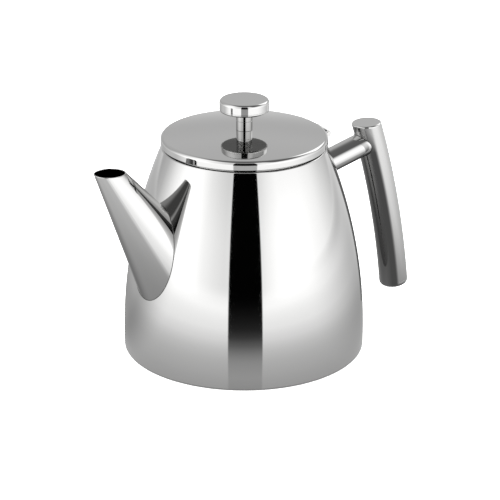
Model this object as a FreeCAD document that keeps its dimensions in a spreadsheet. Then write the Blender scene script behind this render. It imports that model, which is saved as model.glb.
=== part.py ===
"""Double-walled steel teapot with a hinged lid and a lift-out infuser basket, in millimetres.

The origin is the centre of the base, on the surface that the pot stands on. +Z is up, the spout
points to -X and the handle to +X. Three groups of pieces move as one each: the pot, the lid with
its knob, and the infuser basket.
"""
import FreeCAD, Part
import Sketcher
import os
import re
from math import atan2, pi, sqrt

SIZES = {
    # outer shell: a short straight side, then one long arc up to the mouth
    "base_radius": 75.0,
    "side_height": 8.0,
    "side_arc": 315.0,
    "body_top": 130.0,
    "shell_wall": 0.9,
    "foot_width": 9.0,
    "foot_round": 1.2,
    "shoulder_round": 1.4,
    "shell_mouth": 47.4,
    # base plate, pressed into the foot
    "plate_radius": 73.6,
    "plate_wall": 0.8,
    "plate_dish": 60.0,
    "plate_rise": 1.2,
    # inner liner, an air gap inside the shell
    "liner_inset": 6.0,
    "liner_wall": 0.8,
    "liner_round": 12.0,
    "liner_top": 129.0,
    # mouth ring, which joins liner and shell and carries the lid and the basket
    "ring_radius": 48.6,
    "ring_neck": 47.3,
    "ring_top": 131.7,
    "ring_round": 0.4,
    "ledge_radius": 46.6,
    "ledge_height": 130.5,
    # spout: an oval cone with its mouth cut almost level
    "tip_x": -97.2,
    "tip_z": 131.0,
    "spout_slope": 57.7,
    "spout_tip_radius": 8.1,
    "spout_growth": 0.1986,
    "tip_flatness": 0.86,
    "root_flatness": 0.95,
    "spout_wall": 0.6,
    "spout_overrun": 10.0,
    "spout_depth": 112.0,
    "mouth_tilt": 2.5,
    "mouth_roll": 4.0,
    # handle: a bent grip tube on one straight strut
    "grip_centre_x": -417.1,
    "grip_centre_z": -50.6,
    "grip_arc": 541.0,
    "grip_radius": 9.35,
    "grip_wall": 1.2,
    "grip_low": 6.5,
    "grip_high": 20.5,
    "cap_angle": 0.4,
    "low_cap_round": 3.0,
    "top_cap_height": 126.8,
    "top_cap_wall": 3.5,
    "top_cap_tilt": 4.0,
    "strut_start_x": 52.0,
    "strut_start_z": 103.4,
    "strut_slope": 13.2,
    "strut_length": 50.0,
    "strut_radius": 7.7,
    "strut_wall": 1.0,
    # lid: a domed cover over a pressed liner with a plug that reaches into the basket
    "lid_radius": 51.0,
    "lid_bottom": 132.0,
    "lid_skirt": 131.1,
    "lid_crown": 139.8,
    "lid_dome": 370.0,
    "lid_wall": 0.8,
    "lid_round": 2.4,
    "lid_shelf": 46.9,
    "lid_shelf_height": 134.4,
    "plug_radius": 38.5,
    "plug_bottom": 127.0,
    "press_wall": 0.7,
    # knob
    "knob_radius": 15.2,
    "knob_bottom": 151.7,
    "knob_seam": 153.4,
    "knob_top": 159.2,
    "knob_top_round": 2.0,
    "knob_bottom_round": 1.2,
    "knob_wall": 1.0,
    "stem_radius": 5.0,
    "screw_radius": 1.95,
    "screw_hole": 2.0,
    "screw_tip": 148.0,
    "screw_hole_end": 148.6,
    "screw_head_radius": 3.8,
    "screw_head_height": 2.2,
    "socket_size": 1.25,
    "washer_radius": 5.0,
    "washer_top": 138.9,
    "washer_wall": 0.8,
    # lid hinge: two knuckles of the lid's leaf outside one knuckle of the pot's bracket
    "hinge_x": 57.3,
    "hinge_z": 128.6,
    "hinge_half": 9.0,
    "knuckle_radius": 2.25,
    "knuckle_half": 4.1,
    "knuckle_gap": 0.3,
    "pin_radius": 1.3,
    "pin_play": 0.05,
    "pin_end": 0.3,
    "leaf_slope": 32.9,
    "leaf_length": 10.3,
    "leaf_wall": 0.9,
    "bracket_slope": 44.0,
    "bracket_length": 12.0,
    "bracket_wall": 1.2,
    "bracket_foot_half": 7.0,
    "bracket_foot_low": 118.0,
    "bracket_foot_high": 127.5,
    # infuser basket
    "flange_radius": 46.2,
    "flange_bottom": 130.6,
    "flange_wall": 0.7,
    "collar_radius": 40.1,
    "collar_bottom": 122.0,
    "collar_overlap": 4.0,
    "mesh_radius": 39.5,
    "mesh_wall": 0.5,
    "mesh_bottom": 44.0,
    "hoop_bottom": 43.4,
    "hoop_top": 50.0,
    "hoop_lip": 3.0,
}

FUNCTIONS = "sqrt|sin|cos|tan"
RADIANS = round(pi / 180, 9)

doc = FreeCAD.newDocument("teapot_infuser")
sheet = doc.addObject("Spreadsheet::Sheet", "Sizes")
for row, (alias, number) in enumerate(SIZES.items(), start=1):
    sheet.set(f"A{row}", alias)
    sheet.set(f"B{row}", str(number))
    sheet.setAlias(f"B{row}", alias)
doc.recompute()

nodes = {}


# ---- expressions of the sheet's names -------------------------------------------------------

def bound(expression):
    """The expression with the sheet's name in front of each of its names."""
    return re.sub(rf"\b(?!(?:{FUNCTIONS})\b)([a-z][a-z_]*)\b", r"Sizes.\1", expression)


def size(expression):
    """What an expression of the sheet's names comes to, in millimetres or degrees."""
    return float(sheet.evalExpression(bound(expression)))


def side(height, inset="0"):
    """The shell's outer radius at a height on its arc, less an inset square to the wall."""
    reach = f"(side_arc - ({inset}))^2 - ({height} - side_height)^2"
    return f"(base_radius - side_arc + sqrt({reach}))"


def dome(radius, inset="0"):
    """The height of the lid's crown at a radius, less an inset square to it."""
    return f"(lid_crown - lid_dome + sqrt((lid_dome - ({inset}))^2 - ({radius})^2))"


# ---- turned pieces --------------------------------------------------------------------------

def segment(start, end, bend):
    """A sketch line or arc from start to end, and which of its ends is its start and its end.

    bend is None for a line, or the arc's radius: positive turns left on the way, negative right.
    """
    if bend is None:
        return Part.LineSegment(start, end), 1, 2
    chord = end - start
    left = FreeCAD.Vector(-chord.y, chord.x, 0).normalize()
    rise = sqrt(bend ** 2 - (chord.Length / 2) ** 2)
    centre = (start + end) * 0.5 + left * (rise if bend > 0 else -rise)
    circle = Part.Circle(centre, FreeCAD.Vector(0, 0, 1), abs(bend))
    turn_start = atan2(start.y - centre.y, start.x - centre.x)
    turn_end = atan2(end.y - centre.y, end.x - centre.x)
    if bend > 0:
        return Part.ArcOfCircle(circle, turn_start, turn_end), 1, 2
    return Part.ArcOfCircle(circle, turn_end, turn_start), 2, 1


def pin_down(sketch, geometry, end, kind, expression):
    """Constrain one coordinate of a sketch point to an expression, or to an axis when it is 0."""
    if expression == "0":
        axis = -2 if kind == "DistanceX" else -1
        sketch.addConstraint(Sketcher.Constraint("PointOnObject", geometry, end, axis))
        return
    constraint = Sketcher.Constraint(kind, -1, 1, geometry, end, size(expression))
    index = sketch.addConstraint(constraint)
    sketch.setExpression(f"Constraints[{index}]", bound(expression))


def turned(name, outline):
    """A body turned about Z from an outline of (radius, height) corners.

    A corner with a third item starts an arc of that radius; with "-" before it, it turns right.
    """
    body = doc.addObject("PartDesign::Body", name)
    sketch = body.newObject("Sketcher::SketchObject", name + "_outline")
    plane = [item for item in body.Origin.OriginFeatures if item.Role == "XZ_Plane"]
    sketch.AttachmentSupport = (plane[0], [""])
    sketch.MapMode = "FlatFace"
    corners = [FreeCAD.Vector(size(corner[0]), size(corner[1]), 0) for corner in outline]
    ends = []
    for index, corner in enumerate(outline):
        bend = size(corner[2]) if len(corner) > 2 else None
        line, first, last = segment(corners[index], corners[(index + 1) % len(corners)], bend)
        ends.append((sketch.addGeometry(line, False), first, last))
    for index, corner in enumerate(outline):
        geometry, first, _ = ends[index]
        previous, _, previous_last = ends[index - 1]
        sketch.addConstraint(
            Sketcher.Constraint("Coincident", previous, previous_last, geometry, first))
        pin_down(sketch, geometry, first, "DistanceX", corner[0])
        pin_down(sketch, geometry, first, "DistanceY", corner[1])
        if len(corner) > 2:
            radius = corner[2].lstrip("-")
            bow = sketch.addConstraint(Sketcher.Constraint("Radius", geometry, size(radius)))
            sketch.setExpression(f"Constraints[{bow}]", bound(radius))
    turn = body.newObject("PartDesign::Revolution", name + "_turn")
    turn.Profile = (sketch, [""])
    turn.ReferenceAxis = (sketch, ["V_Axis"])
    turn.Angle = 360
    return body


def rounded(body, radius, *corners):
    """The body with its circular edges at these (radius, height) corners rounded."""
    doc.recompute()
    base = body.Tip
    wanted = [(size(corner[0]), size(corner[1])) for corner in corners]
    names = []
    for index, edge in enumerate(base.Shape.Edges, start=1):
        if edge.Degenerated or not isinstance(edge.Curve, Part.Circle):
            continue
        found = (edge.Curve.Radius, edge.Curve.Center.z)
        if any(abs(found[0] - r) + abs(found[1] - z) < 0.001 for r, z in wanted):
            names.append(f"Edge{index}")
    if len(names) != len(corners):
        raise ValueError(f"{body.Name}: {len(names)} edges found for {len(corners)} corners")
    fillet = body.newObject("PartDesign::Fillet", body.Name + "_round")
    fillet.Base = (base, names)
    fillet.setExpression("Radius", bound(radius))
    return body


# ---- primitives and booleans ----------------------------------------------------------------

def solid(kind, name, **sizes):
    """A Part primitive whose sizes are bound to the sheet."""
    thing = doc.addObject("Part::" + kind, name)
    for size_name, expression in sizes.items():
        thing.setExpression(size_name, bound(expression))
    return thing


def place(thing, spot, angle=None):
    """Move a piece to a spot (x, y, z), turned by an angle about +Y."""
    if angle is not None:
        turn = FreeCAD.Rotation(FreeCAD.Vector(0, 1, 0), size(angle))
        thing.Placement = FreeCAD.Placement(FreeCAD.Vector(), turn)
        thing.setExpression("Placement.Rotation.Angle", bound(angle))
    for letter, expression in zip("xyz", spot):
        if expression != "0":
            thing.setExpression("Placement.Base." + letter, bound(expression))
    return thing


def along_y(thing, spot):
    """Turn a cylinder that stands on its end so that it lies along +Y from a spot."""
    thing.Placement.Rotation = FreeCAD.Rotation(FreeCAD.Vector(1, 0, 0), -90)
    return place(thing, spot)


def cut(name, base, *tools):
    """The base less every tool, one cut after another."""
    for index, tool in enumerate(tools):
        last = index == len(tools) - 1
        step = doc.addObject("Part::Cut", name if last else f"{name}_cut_{index}")
        step.Base = base
        step.Tool = tool
        base = step
    return base


def joined(name, *pieces):
    """Pieces fused into one."""
    fusion = doc.addObject("Part::MultiFuse", name)
    fusion.Shapes = list(pieces)
    return fusion


def shared(name, first, second):
    """What two solids have in common."""
    common = doc.addObject("Part::Common", name)
    common.Base = first
    common.Tool = second
    return common


def node(label, thing):
    """Name a finished sub-part, which is written to a file of that name."""
    thing.Label = label
    nodes[label] = thing
    return thing


# ---- pot ------------------------------------------------------------------------------------

def envelope(name, growth="0"):
    """The pot's outer form as one solid, grown square to its wall."""
    low = side("side_height", f"-({growth})")
    high = side("body_top", f"-({growth})")
    return turned(name, [
        ("0", "0"),
        (low, "0"),
        (low, "side_height", f"side_arc + ({growth})"),
        (high, "body_top"),
        ("0", "body_top"),
    ])


def liner_space():
    """The room inside the liner, as one solid."""
    inset = "liner_inset + liner_wall"
    return turned("liner_space", [
        ("0", "side_height"),
        (side("side_height", inset), "side_height", f"side_arc - ({inset})"),
        (side("liner_top", inset), "liner_top"),
        ("0", "liner_top"),
    ])


def spout_cone(name, inset):
    """The spout's oval cone from beyond its mouth to inside the liner, less an inset."""
    rings = []
    for end, travel in (("tip", "-spout_overrun"), ("root", "spout_depth")):
        reach = f"spout_tip_radius + ({travel}) * spout_growth"
        ring = solid(
            "Ellipse", f"{name}_{end}", MajorRadius=f"{reach} - ({inset})",
            MinorRadius=f"({reach}) * {end}_flatness - ({inset})")
        spot = (
            f"tip_x + ({travel}) * cos(spout_slope)", "0",
            f"tip_z - ({travel}) * sin(spout_slope)")
        rings.append(place(ring, spot, "90 + spout_slope"))
    loft = doc.addObject("Part::Loft", name)
    loft.Sections = rings
    loft.Solid = True
    loft.Ruled = True
    return loft


def outer_shell(bore):
    blank = turned("shell_blank", [
        ("base_radius - foot_width", "0"),
        ("base_radius", "0"),
        ("base_radius", "side_height", "side_arc"),
        (side("body_top"), "body_top"),
        ("shell_mouth", "body_top"),
        ("shell_mouth", "body_top - shell_wall"),
        (side("body_top - shell_wall", "shell_wall"), "body_top - shell_wall",
         "-(side_arc - shell_wall)"),
        ("base_radius - shell_wall", "side_height"),
        ("base_radius - shell_wall", "shell_wall"),
        ("base_radius - foot_width", "shell_wall"),
    ])
    rounded(blank, "foot_round", ("base_radius", "0"))
    rounded(blank, "shoulder_round", (side("body_top"), "body_top"))
    return node("outer_shell", cut("outer_shell", blank, bore))


def base_plate():
    """The plate pressed into the foot, its middle dished up over a sloping step."""
    return node("base_plate", turned("base_plate", [
        ("0", "shell_wall + plate_rise"),
        ("plate_dish", "shell_wall + plate_rise"),
        ("plate_dish + plate_rise", "shell_wall"),
        ("plate_radius", "shell_wall"),
        ("plate_radius", "shell_wall + plate_wall"),
        ("plate_dish + plate_rise + plate_wall / 2", "shell_wall + plate_wall"),
        ("plate_dish + plate_wall / 2", "shell_wall + plate_rise + plate_wall"),
        ("0", "shell_wall + plate_rise + plate_wall"),
    ]))


def inner_liner(bore):
    inset = "liner_inset + liner_wall"
    floor = "side_height + liner_wall"
    blank = turned("liner_blank", [
        ("0", "side_height"),
        (side("side_height", "liner_inset"), "side_height", "side_arc - liner_inset"),
        (side("liner_top", "liner_inset"), "liner_top"),
        (side("liner_top", inset), "liner_top", f"-(side_arc - ({inset}))"),
        (side(floor, inset), floor),
        ("0", floor),
    ])
    rounded(blank, "liner_round", (side("side_height", "liner_inset"), "side_height"))
    rounded(blank, "liner_round - liner_wall", (side(floor, inset), floor))
    return node("inner_liner", cut("inner_liner", blank, bore))


def mouth_ring():
    inside = side("liner_top", "liner_inset + liner_wall")
    ring = turned("mouth_ring", [
        (inside, "liner_top"),
        ("ring_neck", "liner_top"),
        ("ring_neck", "body_top"),
        ("ring_radius", "body_top"),
        ("ring_radius", "ring_top"),
        ("ledge_radius", "ring_top"),
        ("ledge_radius", "ledge_height"),
        (inside, "ledge_height"),
    ])
    return node("mouth_ring", rounded(ring, "ring_round", ("ring_radius", "ring_top")))


def spout(form, outside, bore, lining):
    """The spout tube on the shell, and the port that joins shell and liner inside it."""
    above = solid("Cylinder", "above_mouth", Radius="spout_depth / 2", Height="spout_depth / 2")
    roll = FreeCAD.Rotation(FreeCAD.Vector(1, 0, 0), size("mouth_roll"))
    above.Placement.Rotation = roll.multiply(
        FreeCAD.Rotation(FreeCAD.Vector(0, 1, 0), size("mouth_tilt")))
    place(above, ("tip_x", "0", "tip_z"))
    tube = cut("spout_tube", outside, bore, form, above)
    node("spout_tube", tube)
    sleeve = cut("port_sleeve", bore, lining)
    port = cut("spout_port", shared("port_in_wall", sleeve, form), liner_space())
    node("spout_port", port)


def grip_torus(name, radius, trim="cap_angle"):
    """The grip's bent rod of a given radius, with an angle of its arc trimmed off the low end."""
    rod = solid(
        "Torus", name, Radius1="grip_arc", Radius2=radius,
        Angle3=f"grip_high - grip_low - {trim}")
    upright = FreeCAD.Rotation(FreeCAD.Vector(1, 0, 0), 90)
    lowest = FreeCAD.Rotation(FreeCAD.Vector(0, 0, 1), size(f"grip_low + {trim}"))
    rod.Placement.Rotation = upright.multiply(lowest)
    return place(rod, ("grip_centre_x", "0", "grip_centre_z"))


def top_cap_slab(name, height):
    """A slab across the grip, from the seam under its top cap upwards."""
    slab = solid("Box", name, Length="4 * grip_radius", Width="4 * grip_radius", Height=height)
    seam = "top_cap_height - top_cap_wall"
    centre_x = f"grip_centre_x + sqrt(grip_arc^2 - ({seam} - grip_centre_z)^2)"
    spot = (
        f"{centre_x} - 2 * grip_radius * cos(top_cap_tilt)", "-2 * grip_radius",
        f"{seam} - 2 * grip_radius * sin(top_cap_tilt)")
    return place(slab, spot, "-top_cap_tilt")


def grip_top_cap(rod):
    """The level end of the grip, a short piece of the rod closed at its top."""
    slab = top_cap_slab("top_cap_slab", "top_cap_wall")
    return node("grip_top_cap", shared("grip_top_cap", rod, slab))


def grip_bottom_cap():
    """A round end cap, its flat back on the tube's end and its face at the grip's low angle."""
    thickness = f"grip_arc * cap_angle * {RADIANS}"
    cap = turned("grip_bottom_cap", [
        ("0", "0"),
        ("grip_radius", "0"),
        ("grip_radius", thickness),
        ("0", thickness),
    ])
    rounded(cap, "low_cap_round", ("grip_radius", thickness))
    end_angle = "grip_low + cap_angle"
    spot = (
        f"grip_centre_x + grip_arc * cos({end_angle})", "0",
        f"grip_centre_z + grip_arc * sin({end_angle})")
    return node("grip_bottom_cap", place(cap, spot, "180 - grip_low - cap_angle"))


def handle(form):
    grip = grip_torus("grip_rod", "grip_radius")
    hollow = grip_torus("grip_hollow", "grip_radius - grip_wall")
    above = top_cap_slab("above_grip", "4 * grip_radius")
    node("handle_grip", cut("handle_grip", grip, hollow, above))
    grip_top_cap(grip)
    grip_bottom_cap()
    rods = []
    for name, radius in (("strut_rod", "strut_radius"), ("strut_hollow", "strut_radius - strut_wall")):
        rod = solid("Cylinder", name, Radius=radius, Height="strut_length")
        rods.append(place(rod, ("strut_start_x", "0", "strut_start_z"), "90 - strut_slope"))
    whole_grip = grip_torus("grip_form", "grip_radius", "0")
    node("handle_strut", cut("handle_strut", *rods, form, whole_grip))


# ---- lid ------------------------------------------------------------------------------------

def lid_form():
    """The lid cover's outer form as one solid."""
    form = turned("lid_form", [
        ("0", "lid_skirt"),
        ("lid_radius", "lid_skirt"),
        ("lid_radius", dome("lid_radius"), "lid_dome"),
        ("0", "lid_crown"),
    ])
    return rounded(form, "lid_round", ("lid_radius", dome("lid_radius")))


def lid_cover():
    inner = "lid_radius - lid_wall"
    crest = dome(inner, "lid_wall")
    cover = turned("lid_cover", [
        (inner, "lid_skirt"),
        ("lid_radius", "lid_skirt"),
        ("lid_radius", dome("lid_radius"), "lid_dome"),
        ("screw_hole", dome("screw_hole")),
        ("screw_hole", dome("screw_hole", "lid_wall"), "-(lid_dome - lid_wall)"),
        (inner, crest),
    ])
    rounded(cover, "lid_round", ("lid_radius", dome("lid_radius")))
    rounded(cover, "lid_round - lid_wall", (inner, crest))
    return node("lid_cover", cover)


def lid_liner():
    """The pressed underside: a rim, a channel over the basket's flange, and the plug."""
    rim = "lid_radius - lid_wall"
    return node("lid_liner", turned("lid_liner", [
        ("0", "plug_bottom"),
        ("plug_radius", "plug_bottom"),
        ("plug_radius", "lid_shelf_height"),
        ("lid_shelf - press_wall", "lid_shelf_height"),
        ("lid_shelf - press_wall", "lid_bottom"),
        (rim, "lid_bottom"),
        (rim, "lid_bottom + press_wall"),
        ("lid_shelf", "lid_bottom + press_wall"),
        ("lid_shelf", "lid_shelf_height + press_wall"),
        ("plug_radius - press_wall", "lid_shelf_height + press_wall"),
        ("plug_radius - press_wall", "plug_bottom + press_wall"),
        ("0", "plug_bottom + press_wall"),
    ]))


def knob():
    cap = turned("knob_cap", [
        ("knob_radius - knob_wall", "knob_seam"),
        ("knob_radius", "knob_seam"),
        ("knob_radius", "knob_top"),
        ("0", "knob_top"),
        ("0", "knob_top - knob_wall"),
        ("knob_radius - knob_wall", "knob_top - knob_wall"),
    ])
    rounded(cap, "knob_top_round", ("knob_radius", "knob_top"))
    rounded(cap, "knob_top_round - knob_wall",
            ("knob_radius - knob_wall", "knob_top - knob_wall"))
    node("knob_cap", cap)
    base = turned("knob_base", [
        ("0", "knob_bottom"),
        ("knob_radius", "knob_bottom"),
        ("knob_radius", "knob_seam"),
        ("0", "knob_seam"),
    ])
    node("knob_base", rounded(base, "knob_bottom_round", ("knob_radius", "knob_bottom")))
    node("knob_stem", turned("knob_stem", [
        ("screw_hole", "lid_crown"),
        ("stem_radius", "lid_crown"),
        ("stem_radius", "knob_bottom"),
        ("0", "knob_bottom"),
        ("0", "screw_hole_end"),
        ("screw_hole", "screw_hole_end"),
    ]))


def knob_fixing():
    """The screw that holds the knob's stem from inside the lid, and its washer."""
    seat = "washer_top - washer_wall"
    screw = turned("screw_blank", [
        ("0", f"{seat} - screw_head_height"),
        ("screw_head_radius", f"{seat} - screw_head_height"),
        ("screw_head_radius", seat),
        ("screw_radius", seat),
        ("screw_radius", "screw_tip"),
        ("0", "screw_tip"),
    ])
    socket = doc.addObject("Part::Prism", "screw_socket")
    socket.Polygon = 6
    socket.setExpression("Circumradius", bound("socket_size"))
    socket.setExpression("Height", bound("socket_size"))
    place(socket, ("0", "0", f"{seat} - screw_head_height"))
    node("knob_screw", cut("knob_screw", screw, socket))
    node("knob_washer", turned("knob_washer", [
        ("screw_hole", seat),
        ("washer_radius", seat),
        ("washer_radius", "washer_top"),
        ("screw_hole", "washer_top"),
    ]))


# ---- hinge ----------------------------------------------------------------------------------

def across(name, radius, half):
    """A cylinder on the hinge's axis, half as long each way as it is in all."""
    rod = solid("Cylinder", name, Radius=radius, Height=f"2 * ({half})")
    return along_y(rod, ("hinge_x", f"-({half})", "hinge_z"))


def hinge_sheet(name, length, half, wall, slope):
    """A flat strip tangent to the knuckles' top side, running back from them at a slope."""
    strip = solid("Box", name, Length=length, Width=f"2 * ({half})", Height=wall)
    lift = f"(knuckle_radius - {wall})"
    spot = (
        f"hinge_x + {lift} * sin({slope}) - ({length}) * cos({slope})",
        f"-({half})",
        f"hinge_z + {lift} * cos({slope}) + ({length}) * sin({slope})")
    return place(strip, spot, slope)


def lid_hinge_leaf(form):
    barrel = across("leaf_barrel", "knuckle_radius", "hinge_half")
    strip = hinge_sheet("leaf_strip", "leaf_length", "hinge_half", "leaf_wall", "leaf_slope")
    blank = joined("leaf_blank", barrel, strip)
    bore = across("leaf_bore", "pin_radius + pin_play", "hinge_half + pin_end")
    notch = across("leaf_notch", "knuckle_radius + knuckle_gap", "knuckle_half + knuckle_gap")
    return node("lid_hinge_leaf", cut("lid_hinge_leaf", blank, bore, notch, form))


def hinge_bracket(form):
    """The pot's knuckle on an arm that reaches down to a foot on the shell."""
    barrel = across("bracket_barrel", "knuckle_radius", "knuckle_half")
    arm = solid("Box", "bracket_arm", Length="bracket_length", Width="2 * knuckle_half",
                Height="bracket_wall")
    spot = (
        "hinge_x - (knuckle_radius - bracket_wall) * sin(bracket_slope)"
        " - bracket_length * cos(bracket_slope)",
        "-knuckle_half",
        "hinge_z + (knuckle_radius - bracket_wall) * cos(bracket_slope)"
        " - bracket_length * sin(bracket_slope)")
    place(arm, spot, "-bracket_slope")
    skin = cut("bracket_skin", envelope("bracket_form", "bracket_wall"), form)
    patch = solid("Box", "bracket_patch", Length="base_radius", Width="2 * bracket_foot_half",
                  Height="bracket_foot_high - bracket_foot_low")
    place(patch, ("0", "-bracket_foot_half", "bracket_foot_low"))
    foot = shared("bracket_foot", skin, patch)
    bore = across("bracket_bore", "pin_radius", "hinge_half")
    blank = joined("bracket_blank", barrel, cut("bracket_arm_end", arm, form), foot)
    return node("hinge_bracket", cut("hinge_bracket", blank, bore))


def hinge_pin():
    return node("hinge_pin", across("hinge_pin", "pin_radius", "hinge_half + pin_end"))


# ---- infuser basket -------------------------------------------------------------------------

def infuser():
    node("infuser_rim", turned("infuser_rim", [
        ("mesh_radius", "collar_bottom"),
        ("collar_radius", "collar_bottom"),
        ("collar_radius", "flange_bottom"),
        ("flange_radius", "flange_bottom"),
        ("flange_radius", "flange_bottom + flange_wall"),
        ("mesh_radius", "flange_bottom + flange_wall"),
    ]))
    node("infuser_wall", turned("infuser_wall", [
        ("mesh_radius - mesh_wall", "mesh_bottom"),
        ("mesh_radius", "mesh_bottom"),
        ("mesh_radius", "collar_bottom + collar_overlap"),
        ("mesh_radius - mesh_wall", "collar_bottom + collar_overlap"),
    ]))
    node("infuser_floor", turned("infuser_floor", [
        ("0", "mesh_bottom"),
        ("mesh_radius - mesh_wall", "mesh_bottom"),
        ("mesh_radius - mesh_wall", "mesh_bottom + mesh_wall"),
        ("0", "mesh_bottom + mesh_wall"),
    ]))
    node("infuser_base_hoop", turned("infuser_base_hoop", [
        ("mesh_radius - hoop_lip", "hoop_bottom"),
        ("collar_radius", "hoop_bottom"),
        ("collar_radius", "hoop_top"),
        ("mesh_radius", "hoop_top"),
        ("mesh_radius", "mesh_bottom"),
        ("mesh_radius - hoop_lip", "mesh_bottom"),
    ]))


def build():
    form = envelope("pot_form")
    outside = spout_cone("spout_outside", "0")
    bore = spout_cone("spout_bore", "spout_wall")
    lining = spout_cone("port_bore", "2 * spout_wall")
    outer_shell(bore)
    base_plate()
    inner_liner(bore)
    mouth_ring()
    spout(form, outside, bore, lining)
    handle(form)
    lid_cover()
    lid_liner()
    knob()
    knob_fixing()
    lid_hinge_leaf(lid_form())
    hinge_bracket(form)
    hinge_pin()
    infuser()
    doc.recompute()


def check():
    """Stop when an object failed to build or a sub-part isn't a sound solid."""
    for thing in doc.Objects:
        if "Invalid" in thing.State or "Error" in thing.State:
            raise RuntimeError(f"{thing.Name} did not build: {thing.State}")
    for label, thing in nodes.items():
        shape = thing.Shape
        if shape.isNull() or not shape.isValid() or not shape.Solids:
            raise RuntimeError(f"{label} is not a sound solid")


def write():
    os.makedirs("parts", exist_ok=True)
    for label, thing in nodes.items():
        thing.Shape.exportStep(f"parts/{label}.step")
        box = thing.Shape.BoundBox
        print(f"{label:20s} {len(thing.Shape.Solids)} solid, {thing.Shape.Volume:9.1f} mm3, "
              f"x {box.XMin:.1f} {box.XMax:.1f}, z {box.ZMin:.1f} {box.ZMax:.1f}")


build()
check()
write()
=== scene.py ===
"""A polished steel teapot with a hinged lid and a lift-out infuser basket, in metres.

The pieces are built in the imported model's frame: the origin is the centre of the base, +Z is up,
the spout points to -X and the handle to +X.
"""
from math import asin, atan2, ceil, cos, hypot, pi, radians, sin, sqrt, tan

import bpy
from mathutils import Matrix, Vector
from mathutils.geometry import delaunay_2d_cdt


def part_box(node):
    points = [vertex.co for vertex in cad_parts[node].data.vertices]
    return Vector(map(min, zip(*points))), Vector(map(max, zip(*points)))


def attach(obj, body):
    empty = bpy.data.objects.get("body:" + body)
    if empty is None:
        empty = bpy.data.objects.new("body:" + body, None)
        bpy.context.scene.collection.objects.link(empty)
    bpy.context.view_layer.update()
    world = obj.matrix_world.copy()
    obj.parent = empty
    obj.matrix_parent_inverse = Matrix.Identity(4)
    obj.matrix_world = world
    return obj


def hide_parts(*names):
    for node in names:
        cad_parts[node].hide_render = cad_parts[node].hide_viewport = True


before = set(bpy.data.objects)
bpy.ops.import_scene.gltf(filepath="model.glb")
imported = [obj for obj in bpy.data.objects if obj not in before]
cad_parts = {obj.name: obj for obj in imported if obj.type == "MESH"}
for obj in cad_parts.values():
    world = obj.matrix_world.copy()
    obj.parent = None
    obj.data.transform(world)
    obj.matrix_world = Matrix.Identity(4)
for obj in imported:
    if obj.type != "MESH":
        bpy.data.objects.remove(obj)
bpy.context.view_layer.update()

MM = 0.001
SIDEWAYS = Vector((0, 1, 0))
UP = Vector((0, 0, 1))

# the pot's side: a short straight foot, then one long arc up to the mouth
BASE_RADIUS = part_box("outer_shell")[1].y
SIDE_START = 8 * MM             # the height at which the foot ends
SIDE_ARC = 315 * MM             # the arc's radius

# the spout's oval cone, cut almost level at its mouth
SPOUT_TIP = Vector((-97.2, 0, 131.0)) * MM
SPOUT_SLOPE = radians(57.7)     # its axis below the horizontal
SPOUT_DOWN = Vector((cos(SPOUT_SLOPE), 0, -sin(SPOUT_SLOPE)))
SPOUT_OVER = Vector((-sin(SPOUT_SLOPE), 0, -cos(SPOUT_SLOPE)))
SPOUT_RADIUS = 8.1 * MM         # half its height at the tip
SPOUT_GROWTH = 0.1986           # what that gains for each metre down the axis
SPOUT_REACH = (-10 * MM, 112 * MM)
SPOUT_FLATNESS = (0.86, 0.95)   # its width over its height, at each end of that reach
SPOUT_WALL = 0.6 * MM
SPOUT_TURNS = [2 * pi * k / 192 for k in range(192)]
SPOUT_STEPS = 36
SPOUT_BEAD = 0.25 * MM
MOUTH_TILT = radians(2.5)
MOUTH_ROLL = radians(4)
MOUTH_FACING = Matrix.Rotation(MOUTH_ROLL, 3, "X") @ Matrix.Rotation(MOUTH_TILT, 3, "Y") @ UP

# the bent grip and the strut that carries it
GRIP_CENTRE = Vector((-417.1, 0, -50.6)) * MM
GRIP_ARC = 541 * MM             # the radius of its bend
GRIP_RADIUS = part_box("grip_bottom_cap")[1].y
GRIP_LOW = radians(6.5)
GRIP_HIGH = radians(20.5)
CAP_ANGLE = radians(0.4)        # what the bottom cap takes of the bend
CAP_HEIGHT = 126.8 * MM         # the top cap's middle
CAP_WALL = 3.5 * MM
CAP_EASE = 1.2 * MM
CAP_TILT = radians(4.0)
CAP_FACING = Vector((-sin(CAP_TILT), 0, cos(CAP_TILT)))
ROD_TURNS = [2 * pi * k / 128 for k in range(128)]
GRIP_STEPS = 72
EASE_STEPS = 5
STRUT_START = Vector((52, 0, 103.4)) * MM
STRUT_SLOPE = radians(13.2)
STRUT_ALONG = Vector((cos(STRUT_SLOPE), 0, sin(STRUT_SLOPE)))
STRUT_OVER = Vector((-sin(STRUT_SLOPE), 0, cos(STRUT_SLOPE)))
STRUT_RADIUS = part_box("handle_strut")[1].y
STRUT_REACH = 45 * MM           # long enough to pass into the grip
STRUT_STEPS = 8
STRUT_BEAD = 0.3 * MM
BEAD_SIDES = 12

# the lid's crown
LID_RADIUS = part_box("lid_cover")[1].x
LID_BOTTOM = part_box("lid_cover")[0].z
LID_DOME = 370 * MM
LID_WALL = 0.8 * MM
LID_ROUND = 2.4 * MM
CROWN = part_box("knob_stem")[0].z

AROUND = 256                    # faces around a large turned piece
EDGE = 0.15 * MM                # how far a sheet's edge is eased
EASE_TURN = radians(11)         # the most that one face of an eased corner turns
HALVINGS = 40                   # how often a search for a crossing halves its range


# ---- meshes with exact corner normals -------------------------------------------------------

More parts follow.
